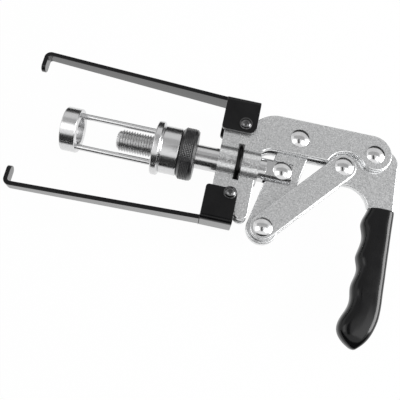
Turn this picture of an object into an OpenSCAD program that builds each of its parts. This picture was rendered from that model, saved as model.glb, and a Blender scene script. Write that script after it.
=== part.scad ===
// Over-centre valve spring compressor: two hooked arms hold the spring's lower coil
// while a lever-driven plunger presses a cage on the retainer.
// The tool lies flat: +X runs from the cup to the handle, +Z is square to its plates.

/* [Linkage pivots] */
// Lever pivot on the frame, along the plunger axis
lever_pivot_x = 171.4; // [168:0.1:175]
// Lever pivot on the frame, above the plunger axis
lever_pivot_y = 28.5; // [26:0.1:31]
// Handle pivot on the frame, along the plunger axis
handle_pivot_x = 228.3; // [224:0.1:232]
// Handle pivot on the frame, above the plunger axis
handle_pivot_y = 28.3; // [26:0.1:31]
// Link to handle pivot, along the plunger axis
link_top_x = 206.6; // [203:0.1:209]
// Link to handle pivot, above the plunger axis
link_top_y = 13.8; // [11:0.1:16]
// Link to lever pivot, along the plunger axis
link_foot_x = 155.9; // [153:0.1:158]
// Link to lever pivot, below the plunger axis
link_foot_drop = 44.5; // [42:0.1:48]

/* [Plates] */
// Thickness of the frame plates and link straps
plate_t = 4; // [3:0.1:5]
// Thickness of the lever and the handle plate between them
core_t = 5; // [4:0.1:6]
// Side gap between plates that move past each other
layer_gap = 0.3; // [0.15:0.05:0.5]
// Radial clearance of a pin that turns in its hole
pin_clearance = 0.05; // [0.02:0.01:0.1]

/* [Frame] */
// Front edge of the frame plates
frame_left = 115.3; // [113:0.1:118]
// Width of the upright part of the frame plates
column_w = 28.7; // [26:0.1:31]
// Height of the upright part above the axis
column_top = 36; // [34:0.1:38]
// Depth of the upright part below the axis
column_drop = 42.7; // [41:0.1:43.5]
// Radius of the foot at the lower end of the upright part
column_foot_r = 5; // [3:0.1:6]
// Height of the beam's upper edge above the axis
beam_top = 43.3; // [42.5:0.1:45]
// Height of the beam's lower edge above the axis
beam_bottom = 15.4; // [14:0.1:17]
// Radius of the beam's upper front corner
beam_corner_r = 22; // [19:0.1:24]
// Radius of the frame's end round the handle pivot
beam_end_r = 12.4; // [11:0.1:13]
// Radius between the upright part and the beam
frame_fillet_r = 10; // [6:0.1:12]
// Radius of the notch that the link end folds into
notch_r = 14.8; // [13.5:0.1:15.5]
// Notch centre from the link pivot, along the axis
notch_dx = 2; // [0:0.1:3]
// Notch centre below the link pivot
notch_drop = 3.1; // [2:0.1:4]

/* [Plunger guide] */
// Diameter of the plunger rod
plunger_d = 18; // [16:0.1:19]
// Radial clearance of the plunger in its guide
guide_clearance = 0.06; // [0.02:0.01:0.1]
// Wall of the half-round guide pressed in each frame plate
guide_wall = 3.95; // [3.4:0.05:4.5]
// Length of the guide past the rear edge of the upright part
guide_overhang = 1.5; // [0:0.1:3]
// Radius where the guide runs into the flat plate
guide_cove_r = 1; // [0.5:0.1:2]
// Section diameter of the rubber ring
o_ring_d = 4.2; // [3.2:0.1:4.6]
// Depth that the rubber ring sits in the guide wall
o_ring_seat = 1.5; // [0.8:0.1:2]
// Side and end clearance of the rubber ring's groove
o_ring_clearance = 0.1; // [0.05:0.05:0.3]

/* [Rivets] */
// Diameter of the rivet shanks
rivet_d = 6; // [5:0.1:7]
// Diameter of the domed rivet heads
rivet_head_d = 13.8; // [12:0.1:15]
// Height of the domed rivet heads
rivet_head_h = 2.7; // [2:0.1:3.5]

/* [Lever and link] */
// Radius of the lever's ends
lever_r = 11.4; // [10.5:0.1:12.5]
// Radius of the link's ends
link_r = 9.3; // [8.9:0.1:9.6]
// Clearance hole of the open pivot at the lever's foot
open_pivot_r = 6.1; // [6:0.05:6.4]
// Centre of that hole from the link pivot, towards the cup
open_pivot_dx = 1.3; // [1.2:0.05:1.4]
// Centre of that hole below the link pivot
open_pivot_drop = 2.34; // [2.2:0.02:2.5]
// Extra radius of the lever's hole round the fork pin
fork_pin_play = 0.9; // [0.85:0.05:1.1]
// Shift of that hole towards the lever pivot
fork_pin_shift = 0.66; // [0.6:0.02:0.72]

/* [Handle] */
// Radius of the handle plate's ear round the link pivot
handle_ear_r = 12.6; // [11:0.1:13]
// Radius of the handle plate round its own pivot
handle_boss_r = 12; // [10:0.1:12.2]
// Radius of the handle plate's upper rear corner
handle_corner_r = 11.5; // [9:0.1:13]
// Rear edge of the handle plate behind its pivot
handle_rear = 19; // [17:0.1:21]
// Radius of the hollow below the ear
handle_hollow_r = 17.3; // [15:0.1:18]
// Handle plate's upper rear corner below the handle pivot
handle_corner_drop = 4; // [3:0.1:6]
// Centre of that hollow behind the link pivot
handle_hollow_dx = 4.9; // [3.5:0.1:6]
// Top of the grip below the plunger axis
grip_top_drop = 12.8; // [11:0.1:14]
// Length of the grip
grip_len = 101; // [95:0.5:110]
// Thickness of the grip across the plates
grip_t = 16; // [13:0.1:18]
// Radius of the grip's rounded edges
grip_edge_r = 3; // [2:0.1:3.2]
// Grip's front edge ahead of the handle pivot
grip_ahead = 0.7; // [0:0.1:2]
// Grip's rear edge behind the handle plate's
grip_behind = 0.4; // [0.2:0.1:1]
// Depth of the finger bumps to each side of their mean line
grip_bump = 1.15; // [0.6:0.05:1.6]
// Distance between finger bumps
grip_pitch = 24; // [22:0.1:26]
// First finger bump below the grip's top
grip_crest = 11.5; // [10:0.1:13]
// Lean of the finger bumps, as a share of their pitch
grip_skew = 0.13; // [0:0.01:0.2]
// Lean of the front edge over the grip's length
grip_front_lean = 1.6; // [0.5:0.1:2.5]
// Bow of the front edge over the grip's length
grip_front_bow = 5.4; // [4:0.1:6]
// Lean of the rear edge over the grip's length
grip_rear_lean = 2.6; // [1.5:0.1:3.2]
// Flare of the front edge at the grip's foot
grip_flare = 3.6; // [2:0.1:4]
// Rounding of the foot at the front edge
grip_foot_front = 10.4; // [9:0.1:10.6]
// Rounding of the foot at the rear edge
grip_foot_rear = 11.2; // [10:0.1:11.4]
// Wall of the grip round the handle plate
grip_wall = 3.6; // [3:0.1:5]
// Length of the handle plate's tang in the grip
tang_len = 81; // [60:0.5:85]

/* [Arms] */
// Thickness of the arm strip
arm_t = 3.3; // [2.6:0.1:3.8]
// Height of the upper arm's outer face at its bracket, above the axis
upper_reach = 50; // [49:0.1:52]
// Depth of the lower arm's outer face at its bracket, below the axis
lower_reach = 48.5; // [48:0.1:50]
// Outward splay of the upper arm, in degrees
upper_splay = 3.1; // [1.5:0.1:3.6]
// Outward splay of the lower arm, in degrees
lower_splay = 1.9; // [1:0.1:3]
// Distance of the hook's outer face ahead of the cup
hook_ahead = 31; // [28:0.1:36]
// Length of the hook tip from the arm's outer face
hook_len = 15.5; // [13:0.1:18]
// Outer bend radius of the hook
hook_bend_r = 5; // [4.2:0.1:6]
// Width of the arm strip at its bracket
arm_w = 13.8; // [12:0.1:16]
// Width of the arm strip at its hook
hook_w = 8.4; // [7.5:0.1:10]
// Length of the upper bracket along the axis
upper_bracket_len = 25.6; // [24:0.1:26.5]
// Length of the lower bracket along the axis
lower_bracket_len = 23.2; // [22:0.1:23.6]
// Upper bracket's front edge from the frame's front edge
upper_bracket_dx = -2.4; // [-3:0.1:-1]
// Lower bracket's front edge from the frame's front edge
lower_bracket_dx = -4.4; // [-6:0.1:-3]
// Upper bracket's inner edge above the axis
upper_bracket_in = 22.5; // [21:0.1:23.2]
// Lower bracket's inner edge below the axis
lower_bracket_in = 22.4; // [20:0.1:22.8]
// Outer corner radius of the brackets' folds
bracket_fold_r = 4; // [3.5:0.1:5]
// Radius of the flanges' front inner corner
bracket_corner_r = 2.4; // [1.5:0.1:3]
// Radius of the flanges' inner corner at the screw
bracket_ear_r = 5; // [4:0.1:6]
// Diameter of the arm screws
screw_d = 5; // [4:0.1:6]
// Diameter of the screw heads
screw_head_d = 9.5; // [8.5:0.1:10]
// Height of the screw heads
screw_head_h = 2.8; // [2.2:0.1:3.2]
// Width across flats of the key socket
screw_key = 3; // [2.5:0.1:4]
// Depth of the key socket
screw_key_depth = 1.8; // [1.2:0.1:2]
// Width across flats of the screws' lock nuts
lock_nut_w = 8; // [7:0.1:9]
// Height of the screws' lock nuts
lock_nut_h = 5; // [4:0.1:6]
// Upper arm screw from the frame's front edge
upper_screw_dx = 14.6; // [13:0.1:16]
// Upper arm screw above the axis
upper_screw_y = 28.9; // [27.5:0.1:30]
// Lower arm screw from the frame's front edge
lower_screw_dx = 13.4; // [12:0.1:14]
// Lower arm screw below the axis
lower_screw_drop = 26; // [25.5:0.1:28]
// Wall of the spacers between the frame plates
spacer_wall = 2.2; // [1.5:0.1:3]

/* [Cage] */
// Outer diameter of the retainer cup
cup_d = 32.6; // [31.5:0.1:36]
// Length of the retainer cup
cup_len = 11.4; // [9.5:0.1:13]
// Bore of the retainer cup
cup_bore_d = 20.2; // [18:0.1:20.4]
// Diameter of the retainer seat in the cup's face
seat_d = 27.2; // [24:0.1:28.6]
// Depth of the retainer seat
seat_depth = 3.5; // [2:0.1:4]
// Diameter of the cage rods
cage_rod_d = 4.4; // [3.6:0.1:4.6]
// Distance of the cage rods from the axis
cage_rod_offset = 12.5; // [12.4:0.1:13]
// Depth of the cage rods in their sockets
cage_rod_seat = 5; // [3:0.1:5.2]
// Clear length of the cage between cup and hub
cage_gap = 56.4; // [50:0.5:60]
// Diameter of the hub's flange
hub_flange_d = 40; // [37.5:0.1:42]
// Thickness of the hub's flange
hub_flange_t = 5.2; // [5:0.1:7]
// Diameter of the hub's barrel
hub_d = 35.2; // [33:0.1:36.5]
// Length of the hub's barrel
hub_len = 14; // [12:0.1:16]
// Chamfer of the hub's flange
hub_chamfer = 0.8; // [0.4:0.1:1.4]
// Chamfer of the cup's rims
cup_chamfer = 0.6; // [0.3:0.1:1]

/* [Adjusting screw] */
// Diameter of the stud's thread
stud_d = 16; // [14:0.1:16.6]
// Pitch of the stud's thread
stud_pitch = 2; // [1.5:0.05:2.2]
// Length of stud that shows inside the cage
stud_out = 28; // [20:0.5:34]
// Diameter of the stud's plain shank in the plunger rod
stud_shank_d = 12; // [9:0.1:13]
// Depth of the stud in the plunger rod
stud_seat = 13; // [10:0.5:16]
// Gap between the stud's end and the bottom of its bore
stud_end_gap = 1; // [0.3:0.1:2]
// Radial clearance of hub and nut on the thread
thread_clearance = 0.1; // [0.06:0.01:0.1]
// Height of the hub's flange above the knurled nut
nut_step = 0.6; // [0:0.1:1.5]
// Width of the knurled nut
nut_w = 11.2; // [9:0.1:13]
// Chamfer of the knurled nut's rims
nut_chamfer = 1.4; // [0.8:0.1:2]
// Gap between the nut and its neighbours
nut_gap = 0.3; // [0.15:0.05:0.5]

/* [Fork] */
// Fork pin ahead of the lever's centre line
fork_pin_ahead = 2.7; // [2.2:0.1:3]
// Rear end of the fork behind its pin
fork_nose = 7.4; // [7:0.1:8]
// Flat faces of the fork from the tool's middle plane
fork_flat = 7.2; // [6.9:0.1:7.6]
// Start of the flat faces ahead of the fork pin
fork_flat_ahead = 12; // [11.5:0.1:12.2]
// Start of the fork's slot ahead of the fork pin
fork_slot_ahead = 12.4; // [12.2:0.1:13.2]

/* [Hidden] */
$fn = 96;
eps = 0.01;
black_steel = [0.07, 0.07, 0.075];
zinc = [0.72, 0.73, 0.74];
polished = [0.82, 0.83, 0.84];
rubber = [0.05, 0.05, 0.05];

lever_pivot = [lever_pivot_x, lever_pivot_y];
handle_pivot = [handle_pivot_x, handle_pivot_y];
link_top = [link_top_x, link_top_y];
link_foot = [link_foot_x, -link_foot_drop];
lever_run = (link_foot_x - lever_pivot_x) / (lever_pivot_y + link_foot_drop);
fork_pin_x = lever_pivot_x + lever_run * lever_pivot_y - fork_pin_ahead;
fork_pin_lean = atan2(lever_pivot_x - fork_pin_x, lever_pivot_y);

plate_in = core_t / 2 + layer_gap;
plate_out = plate_in + plate_t;
rivet_r = rivet_d / 2;
rivet_hole_r = rivet_r + pin_clearance;
column_right = frame_left + column_w;
guide_end = column_right + guide_overhang;
plunger_r = plunger_d / 2;
guide_bore_r = plunger_r + guide_clearance;
guide_r = guide_bore_r + guide_wall;
o_ring_in_r = guide_r - o_ring_seat;
o_ring_mid_r = o_ring_in_r + o_ring_d / 2;
o_ring_x = frame_left + (column_w + guide_overhang) / 2;

bracket_in = plate_out + layer_gap;
bracket_out = bracket_in + arm_t;
screw_r = screw_d / 2;
screw_hole_r = screw_r + pin_clearance;
upper_screw = [frame_left + upper_screw_dx, upper_screw_y];
lower_screw = [frame_left + lower_screw_dx, -lower_screw_drop];
spacer_r = screw_hole_r + spacer_wall;

inside = 0.1;
strap_inset = 0.02;
arm_root = 1;
strip_step = 0.1;
strip_t = arm_t - strip_step;
strip_drop = strip_step / 2;
hook_end_r = hook_w / 2 + 2 * strip_step;
bend_steps = 12;
corner_steps = 30;
bend_x = -hook_ahead + hook_bend_r;

thread_depth_share = 0.6134;
thread_form = [0.06, 0.44, 0.56, 0.94];
rod_socket_r = cage_rod_d / 2 + pin_clearance;
hub_front = cup_len + cage_gap;
hub_rear = hub_front + hub_flange_t + hub_len;
nut_d = hub_flange_d - 2 * nut_step;
nut_front = hub_rear + nut_gap;
nut_rear = nut_front + nut_w;
plunger_front = nut_rear + nut_gap;
stud_front = hub_front - stud_out;
stud_rear = plunger_front + stud_seat;
stud_bore_r = stud_d / 2 + thread_clearance;
shank_r = stud_shank_d / 2;
thread_depth = thread_depth_share * stud_pitch;
thread_turns = floor((plunger_front - stud_front) / stud_pitch);

grip_top = -grip_top_drop;
grip_bottom = grip_top - grip_len;
grip_steps = 48;
grip_layers = 4;
grip_rear_top = handle_pivot_x + handle_rear + grip_behind;
grip_front_top = handle_pivot_x - grip_ahead;
tang_front = grip_front_top + grip_wall;
tang_rear = grip_rear_top - grip_rear_lean - grip_wall;

// A flat plate of the given outline between two heights.
module slab(low, high) {
    translate([0, 0, low]) linear_extrude(high - low) children();
}

// A child drawn as a profile in radius and X, turned about the plunger axis.
module turned() {
    rotate([0, 90, 0]) rotate([0, 0, 90]) rotate_extrude() children();
}

// A tube about the plunger axis.
module axial(front, rear, outer_r) {
    translate([front, 0, 0]) rotate([0, 90, 0]) cylinder(h = rear - front, r = outer_r);
}

// A strap outline with round ends.
module strap(a, b, r) {
    run = b - a;
    translate(a) circle(r);
    translate(b) circle(r);
    side = r - strap_inset;
    translate(a) rotate(atan2(run[1], run[0])) translate([0, -side]) square([norm(run), 2 * side]);
}

// A rivet with a domed head on each side of the given stack.
module rivet(at, half_stack) {
    head_r = rivet_head_d / 2;
    dome_r = (head_r * head_r + rivet_head_h * rivet_head_h) / (2 * rivet_head_h);
    translate([at[0], at[1], 0]) {
        translate([0, 0, -half_stack]) cylinder(h = 2 * half_stack, r = rivet_r);
        for (side = [0, 1]) mirror([0, 0, side]) translate([0, 0, half_stack]) intersection() {
            cylinder(h = rivet_head_h, r = head_r);
            translate([0, 0, rivet_head_h - dome_r]) sphere(dome_r);
        }
    }
}

// Points of an arc about a centre, between two angles.
function arc_points(centre, r, from, to, steps) =
    [for (i = [0:steps])
        let(at = from + (to - from) * i / steps)
        centre + r * [cos(at), sin(at)]];

// Rear end of the frame, round the handle pivot and drawn up to the beam's upper edge.
module beam_end() {
    rear_r = beam_top - handle_pivot_y;
    rear = [handle_pivot_x + beam_end_r - rear_r, handle_pivot_y];
    polygon(concat(
        arc_points(handle_pivot, beam_end_r, -150, 0, corner_steps),
        arc_points(rear, rear_r, 90 / corner_steps, 90, corner_steps),
        [[handle_pivot_x - beam_end_r, beam_top]]
    ));
}

// Front end of the beam, rounded over into the upright part.
module beam_front() {
    centre = [column_right + beam_corner_r / 2, beam_top - beam_corner_r];
    polygon(concat(
        arc_points(centre, beam_corner_r, 90, 160, corner_steps),
        [[column_right - beam_corner_r / 4, beam_bottom], [centre[0], beam_bottom]]
    ));
}

// Outline of the frame plates.
module frame_outline() {
    beam_start = column_right + beam_corner_r / 2;
    difference() {
        union() {
            translate([frame_left, -column_drop + column_foot_r])
                square([column_w, column_top + column_drop - column_foot_r]);
            translate([column_right - column_foot_r, -column_drop + column_foot_r]) circle(column_foot_r);
            beam_front();
            translate([beam_start - eps, beam_bottom])
                square([handle_pivot_x - 3 / 4 * beam_end_r - beam_start, beam_top - beam_bottom]);
            beam_end();
            translate([column_right - eps, beam_bottom - frame_fillet_r]) difference() {
                square([frame_fillet_r, frame_fillet_r + eps]);
                translate([frame_fillet_r, 0]) circle(frame_fillet_r);
            }
        }
        translate([link_top_x + notch_dx, link_top_y - notch_drop]) circle(notch_r);
    }
}

// Cross-section of the pressed guide on the front plate, in Y and Z.
module guide_section() {
    cove_z = plate_out + guide_cove_r;
    cove_y = sqrt(pow(guide_r + guide_cove_r, 2) - cove_z * cove_z);
    difference() {
        union() {
            circle(guide_r);
            difference() {
                translate([-cove_y, plate_in]) square([2 * cove_y, cove_z - plate_in]);
                for (side = [-1, 1]) translate([side * cove_y, cove_z]) circle(guide_cove_r);
            }
        }
        translate([-2 * guide_r, plate_in - 4 * guide_r]) square(4 * guide_r);
    }
}

// One frame plate with its half-round guide, on the +Z side.
module frame_plate() {
    color(zinc) difference() {
        union() {
            slab(plate_in, plate_out) frame_outline();
            translate([frame_left, 0, 0]) rotate([90, 0, 90])
                linear_extrude(guide_end - frame_left) guide_section();
        }
        axial(frame_left - 1, guide_end + 1, guide_bore_r);
        turned() translate([o_ring_in_r - o_ring_clearance, o_ring_x - o_ring_d / 2 - o_ring_clearance])
            square([o_ring_d + 2 * o_ring_clearance, o_ring_d + 2 * o_ring_clearance]);
        for (at = [lever_pivot, handle_pivot])
            translate([at[0], at[1], 0]) cylinder(h = 2 * plate_out, r = rivet_hole_r);
        for (at = [upper_screw, lower_screw])
            translate([at[0], at[1], 0]) cylinder(h = 2 * plate_out, r = screw_hole_r);
    }
}

module frame_plate_front() {
    frame_plate();
}

module frame_plate_rear() {
    mirror([0, 0, 1]) frame_plate();
}

module guide_o_ring() {
    color(rubber) turned() translate([o_ring_mid_r, o_ring_x]) circle(o_ring_d / 2, $fn = 32);
}

module lever_pivot_rivet() {
    color(polished) rivet(lever_pivot, plate_out);
}

module handle_pivot_rivet() {
    color(polished) rivet(handle_pivot, plate_out);
}

// A round-headed key screw through the bracket, the plates and the spacer.
module arm_screw(at) {
    head_r = screw_head_d / 2;
    dome_r = (head_r * head_r + screw_head_h * screw_head_h) / (2 * screw_head_h);
    head_z = bracket_out + layer_gap;
    tail = head_z + lock_nut_h;
    color(black_steel) translate([at[0], at[1], 0]) difference() {
        union() {
            translate([0, 0, -tail]) cylinder(h = tail + head_z, r = screw_r);
            translate([0, 0, head_z]) intersection() {
                cylinder(h = screw_head_h, r = head_r);
                translate([0, 0, screw_head_h - dome_r]) sphere(dome_r);
            }
        }
        translate([0, 0, head_z + screw_head_h - screw_key_depth])
            cylinder(h = screw_head_h, r = screw_key / sqrt(3), $fn = 6);
    }
}

module upper_arm_screw() {
    arm_screw(upper_screw);
}

module lower_arm_screw() {
    arm_screw(lower_screw);
}

// The lock nut behind the rear flange.
module arm_nut(at) {
    color(black_steel) translate([at[0], at[1], -bracket_out - layer_gap - lock_nut_h]) difference() {
        cylinder(h = lock_nut_h, r = lock_nut_w / sqrt(3), $fn = 6);
        translate([0, 0, -1]) cylinder(h = lock_nut_h + 2, r = screw_hole_r);
    }
}

module upper_arm_nut() {
    arm_nut(upper_screw);
}

module lower_arm_nut() {
    arm_nut(lower_screw);
}

// The spacer that holds the frame plates apart at an arm screw.
module spacer(at) {
    color(zinc) translate([at[0], at[1], -plate_in]) difference() {
        cylinder(h = 2 * plate_in, r = spacer_r);
        translate([0, 0, -1]) cylinder(h = 2 * plate_in + 2, r = screw_hole_r);
    }
}

module upper_spacer() {
    spacer(upper_screw);
}

module lower_spacer() {
    spacer(lower_screw);
}

// Folded section of a bracket, in Y and Z.
module bracket_section(reach, inner) {
    difference() {
        union() {
            translate([inner, -bracket_out]) square([reach - bracket_fold_r - inner, 2 * bracket_out]);
            translate([inner, -bracket_out + bracket_fold_r])
                square([reach - inner, 2 * (bracket_out - bracket_fold_r)]);
            for (side = [-1, 1])
                translate([reach - bracket_fold_r, side * (bracket_out - bracket_fold_r)])
                    circle(bracket_fold_r);
        }
        translate([inner - 1, -bracket_in]) square([reach - arm_t - inner + 1, 2 * bracket_in]);
    }
}

// Outline of a bracket's flanges with rounded inner corners.
module flange_outline(front, len, reach, inner) {
    rear = front + len;
    corner = [front + bracket_corner_r, inner + bracket_corner_r];
    ear = [rear - bracket_ear_r, inner + bracket_ear_r];
    polygon(concat(
        arc_points(corner, bracket_corner_r, 180, 270, bend_steps),
        arc_points(ear, bracket_ear_r, 270, 360, bend_steps),
        [[rear, 2 * reach], [front, 2 * reach]]
    ));
}

// Height of the hook bend's centre, where its outer radius meets the splayed strip.
function bend_y(front, reach, splay) =
    reach - strip_drop - hook_bend_r / cos(splay) + (front - bend_x) * tan(splay);

// Side outline of the arm strip with its hook, seen along Z.
module arm_side(front, reach, splay) {
    centre = [bend_x, bend_y(front, reach, splay)];
    tip_y = centre[1] + hook_bend_r - hook_len;
    top = reach - strip_drop;
    polygon(concat(
        [[front + arm_root, top - arm_root], [front, top]],
        arc_points(centre, hook_bend_r, 90 - splay, 180, bend_steps),
        [[-hook_ahead, tip_y], [-hook_ahead + strip_t, tip_y]],
        arc_points(centre, hook_bend_r - strip_t, 180, 90 - splay, bend_steps),
        [[front, top - strip_t / cos(splay)], [front + arm_root, top - arm_root - strip_t / 3]]
    ));
}

// Plan outline of the arm strip, in X and Z, wide at the bracket and narrow at the hook.
module arm_plan(front) {
    polygon([
        [-hook_ahead - 1, -hook_w / 2], [front + 2 * arm_root, -arm_w / 2],
        [front + 2 * arm_root, arm_w / 2], [-hook_ahead - 1, hook_w / 2]
    ]);
}

// Round end of the hook's tongue, in Y and Z.
module hook_end(end_y) {
    translate([end_y + hook_end_r, 0]) circle(hook_end_r);
    translate([end_y + hook_end_r, -arm_w]) square([4 * hook_len, 2 * arm_w]);
}

// One arm with its folded bracket, above the axis.
module arm(front, len, reach, splay, inner, screw) {
    color(black_steel) difference() {
        union() {
            intersection() {
                translate([front, 0, 0]) rotate([90, 0, 90]) linear_extrude(len) bracket_section(reach, inner);
                slab(-2 * bracket_out, 2 * bracket_out) flange_outline(front, len, reach, inner);
            }
            intersection() {
                slab(-arm_w, arm_w) arm_side(front, reach, splay);
                rotate([90, 0, 0]) translate([0, 0, -3 * reach]) linear_extrude(3 * reach) arm_plan(front);
                translate([-2 * hook_ahead, 0, 0]) rotate([90, 0, 90]) linear_extrude(front + 3 * hook_ahead)
                    hook_end(bend_y(front, reach, splay) + hook_bend_r - hook_len);
            }
        }
        translate([screw[0], screw[1], -2 * bracket_out]) cylinder(h = 4 * bracket_out, r = screw_hole_r);
    }
}

module upper_arm() {
    arm(frame_left + upper_bracket_dx, upper_bracket_len, upper_reach, upper_splay,
        upper_bracket_in, upper_screw);
}

module lower_arm() {
    mirror([0, 1, 0]) arm(frame_left + lower_bracket_dx, lower_bracket_len, lower_reach, lower_splay,
                          lower_bracket_in, [lower_screw[0], lower_screw_drop]);
}

module lever() {
    color(zinc) difference() {
        slab(-core_t / 2, core_t / 2) strap(lever_pivot, link_foot, lever_r);
        translate([lever_pivot[0], lever_pivot[1], -core_t]) cylinder(h = 2 * core_t, r = rivet_hole_r);
        translate([fork_pin_x, 0, -core_t]) rotate(-fork_pin_lean) translate([0, fork_pin_shift, 0])
            cylinder(h = 2 * core_t, r = rivet_r + fork_pin_play);
        translate([link_foot[0] - open_pivot_dx, link_foot[1] - open_pivot_drop, -core_t])
            cylinder(h = 2 * core_t, r = open_pivot_r);
    }
}

// One link strap on the +Z side.
module link_strap() {
    color(zinc) difference() {
        slab(plate_in, plate_out) strap(link_foot, link_top, link_r);
        for (at = [link_foot, link_top])
            translate([at[0], at[1], 0]) cylinder(h = 2 * plate_out, r = rivet_hole_r);
    }
}

module link_front() {
    link_strap();
}

module link_rear() {
    mirror([0, 0, 1]) link_strap();
}

module link_lever_rivet() {
    color(polished) rivet(link_foot, plate_out);
}

module link_handle_rivet() {
    color(polished) rivet(link_top, plate_out);
}

// Part of a stretch that a place has run through, from 0 to 1.
function run_in(s, from, len) = min(1, max(0, (s - from) / len));
// A run from 0 to 1 that starts and ends softly.
function soft(u) = u * u * (3 - 2 * u);
// Finger bumps from -1 to 1, each steeper above its crest's lower side.
function bumps(u) = cos(360 * (u + grip_skew * (1 - cos(360 * u)) / 2));
// Rear edge of the grip at a share of its length, drawn in to a round foot.
function grip_rear_x(s) =
    grip_rear_top - grip_rear_lean * s - grip_foot_rear * pow(run_in(s, 0.7, 0.3), 2.3);
// Front edge of the grip with its finger bumps and the flare at its foot.
function grip_front_x(s) =
    grip_front_top - grip_front_lean * s - grip_front_bow * s * s
    - grip_bump * bumps((s * grip_len - grip_crest) / grip_pitch)
    - grip_flare * soft(run_in(s, 0.7, 0.18)) + grip_foot_front * pow(run_in(s, 0.87, 0.13), 2.1);
// Outline of the grip, drawn in by the given amount.
function grip_points(inset) = concat(
    [for (i = [0:grip_steps])
        let(s = i / grip_steps)
        [grip_front_x(s) + inset, grip_top - inset - s * (grip_len - 2 * inset)]],
    [for (i = [grip_steps:-1:0])
        let(s = i / grip_steps)
        [grip_rear_x(s) - inset, grip_top - inset - s * (grip_len - 2 * inset)]]
);

// Outline of the handle plate down to the end of its tang.
module handle_outline() {
    rear_x = handle_pivot_x + handle_rear;
    corner = [rear_x - handle_corner_r, handle_pivot_y - handle_corner_drop];
    hollow = [link_top_x + handle_hollow_dx, link_top_y - handle_ear_r - handle_hollow_r];
    difference() {
        union() {
            translate(link_top) circle(handle_ear_r);
            translate(handle_pivot) circle(handle_boss_r);
            translate(corner) circle(handle_corner_r);
            polygon([
                [link_top_x, link_top_y - handle_ear_r + inside],
                [grip_front_top + grip_wall / 2, grip_top],
                [tang_front, grip_top],
                [tang_front, grip_top - tang_len],
                [tang_rear, grip_top - tang_len],
                [rear_x - grip_wall, grip_top],
                [rear_x - inside, grip_top],
                [rear_x - inside, corner[1]],
                [corner[0], corner[1] + handle_corner_r - inside],
                [handle_pivot_x, handle_pivot_y + handle_boss_r - inside],
                [link_top_x, link_top_y + handle_ear_r - inside]
            ]);
        }
        translate(hollow) circle(handle_hollow_r);
    }
}

module handle_plate() {
    color(zinc) difference() {
        slab(-core_t / 2, core_t / 2) handle_outline();
        for (at = [handle_pivot, link_top])
            translate([at[0], at[1], -core_t]) cylinder(h = 2 * core_t, r = rivet_hole_r);
    }
}

module handle_grip() {
    color(rubber) difference() {
        union() {
            for (layer = [0:grip_layers - 1]) {
                turn = 90 * layer / (grip_layers - 1);
                height = grip_t / 2 - grip_edge_r * (1 - sin(turn));
                slab(-height, height) polygon(grip_points(grip_edge_r * (1 - cos(turn))));
            }
        }
        slab(-core_t / 2 - eps, core_t / 2 + eps) intersection() {
            handle_outline();
            translate([grip_front_top - grip_wall, grip_bottom]) square([4 * grip_t, grip_len + 1]);
        }
    }
}

module plunger_rod() {
    fork_end = fork_pin_x + fork_nose;
    color(polished) difference() {
        axial(plunger_front, fork_end, plunger_r);
        axial(plunger_front - 1, stud_rear, shank_r + pin_clearance);
        for (side = [-1, 1])
            translate([fork_pin_x - fork_flat_ahead, -plunger_d, side > 0 ? fork_flat : -fork_flat - plunger_d])
                cube([plunger_d + fork_flat_ahead, 2 * plunger_d, plunger_d]);
        translate([fork_pin_x - fork_slot_ahead, -plunger_d, -plate_in])
            cube([fork_slot_ahead + 2 * fork_nose, 2 * plunger_d, 2 * plate_in]);
        translate([fork_pin_x, 0, -plunger_d]) cylinder(h = 2 * plunger_d, r = rivet_hole_r);
    }
}

// The stud's thread is drawn as closed grooves of the real pitch and depth.
module threaded_stud() {
    r = stud_d / 2;
    root = r - thread_depth;
    color(polished) turned() polygon(concat(
        [[0, stud_front], [root, stud_front]],
        [for (i = [0:thread_turns - 1], k = [0:3])
            let(x = stud_front + stud_pitch * (i + thread_form[k]))
            [k == 1 || k == 2 ? r : root, x]],
        [[root, plunger_front], [shank_r, plunger_front]],
        [[shank_r, stud_rear - stud_end_gap], [0, stud_rear - stud_end_gap]]
    ));
}

module fork_pin() {
    color(polished) rivet([fork_pin_x, 0], fork_flat);
}

module cage_hub() {
    r = hub_flange_d / 2;
    flange_rear = hub_front + hub_flange_t;
    color(polished) difference() {
        union() {
            turned() polygon([
                [0, hub_front], [r - hub_chamfer, hub_front], [r, hub_front + hub_chamfer],
                [r, flange_rear - hub_chamfer], [r - hub_chamfer, flange_rear], [0, flange_rear]
            ]);
            axial(flange_rear - eps, hub_rear, hub_d / 2);
        }
        axial(hub_front - 1, hub_rear + 1, stud_bore_r);
        for (side = [-1, 1]) translate([0, side * cage_rod_offset, 0])
            axial(hub_front - 1, hub_front + cage_rod_seat + pin_clearance, rod_socket_r);
    }
}

// A cage rod from the cup's socket to the hub's socket.
module cage_rod(side) {
    color(polished) translate([0, side * cage_rod_offset, 0])
        axial(cup_len - cage_rod_seat, hub_front + cage_rod_seat, cage_rod_d / 2);
}

module cage_rod_upper() {
    cage_rod(1);
}

module cage_rod_lower() {
    cage_rod(-1);
}

module retainer_cup() {
    r = cup_d / 2;
    color(polished) difference() {
        turned() polygon([
            [seat_d / 2, 0], [r - cup_chamfer, 0], [r, cup_chamfer],
            [r, cup_len - cup_chamfer], [r - cup_chamfer, cup_len],
            [cup_bore_d / 2, cup_len], [cup_bore_d / 2, seat_depth], [seat_d / 2, seat_depth]
        ]);
        for (side = [-1, 1]) translate([0, side * cage_rod_offset, 0])
            axial(cup_len - cage_rod_seat - pin_clearance, cup_len + 1, rod_socket_r);
    }
}

module knurled_nut() {
    r = nut_d / 2;
    color(black_steel) turned() polygon([
        [stud_bore_r, nut_front], [r - nut_chamfer, nut_front], [r, nut_front + nut_chamfer],
        [r, nut_rear - nut_chamfer], [r - nut_chamfer, nut_rear], [stud_bore_r, nut_rear]
    ]);
}

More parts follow.
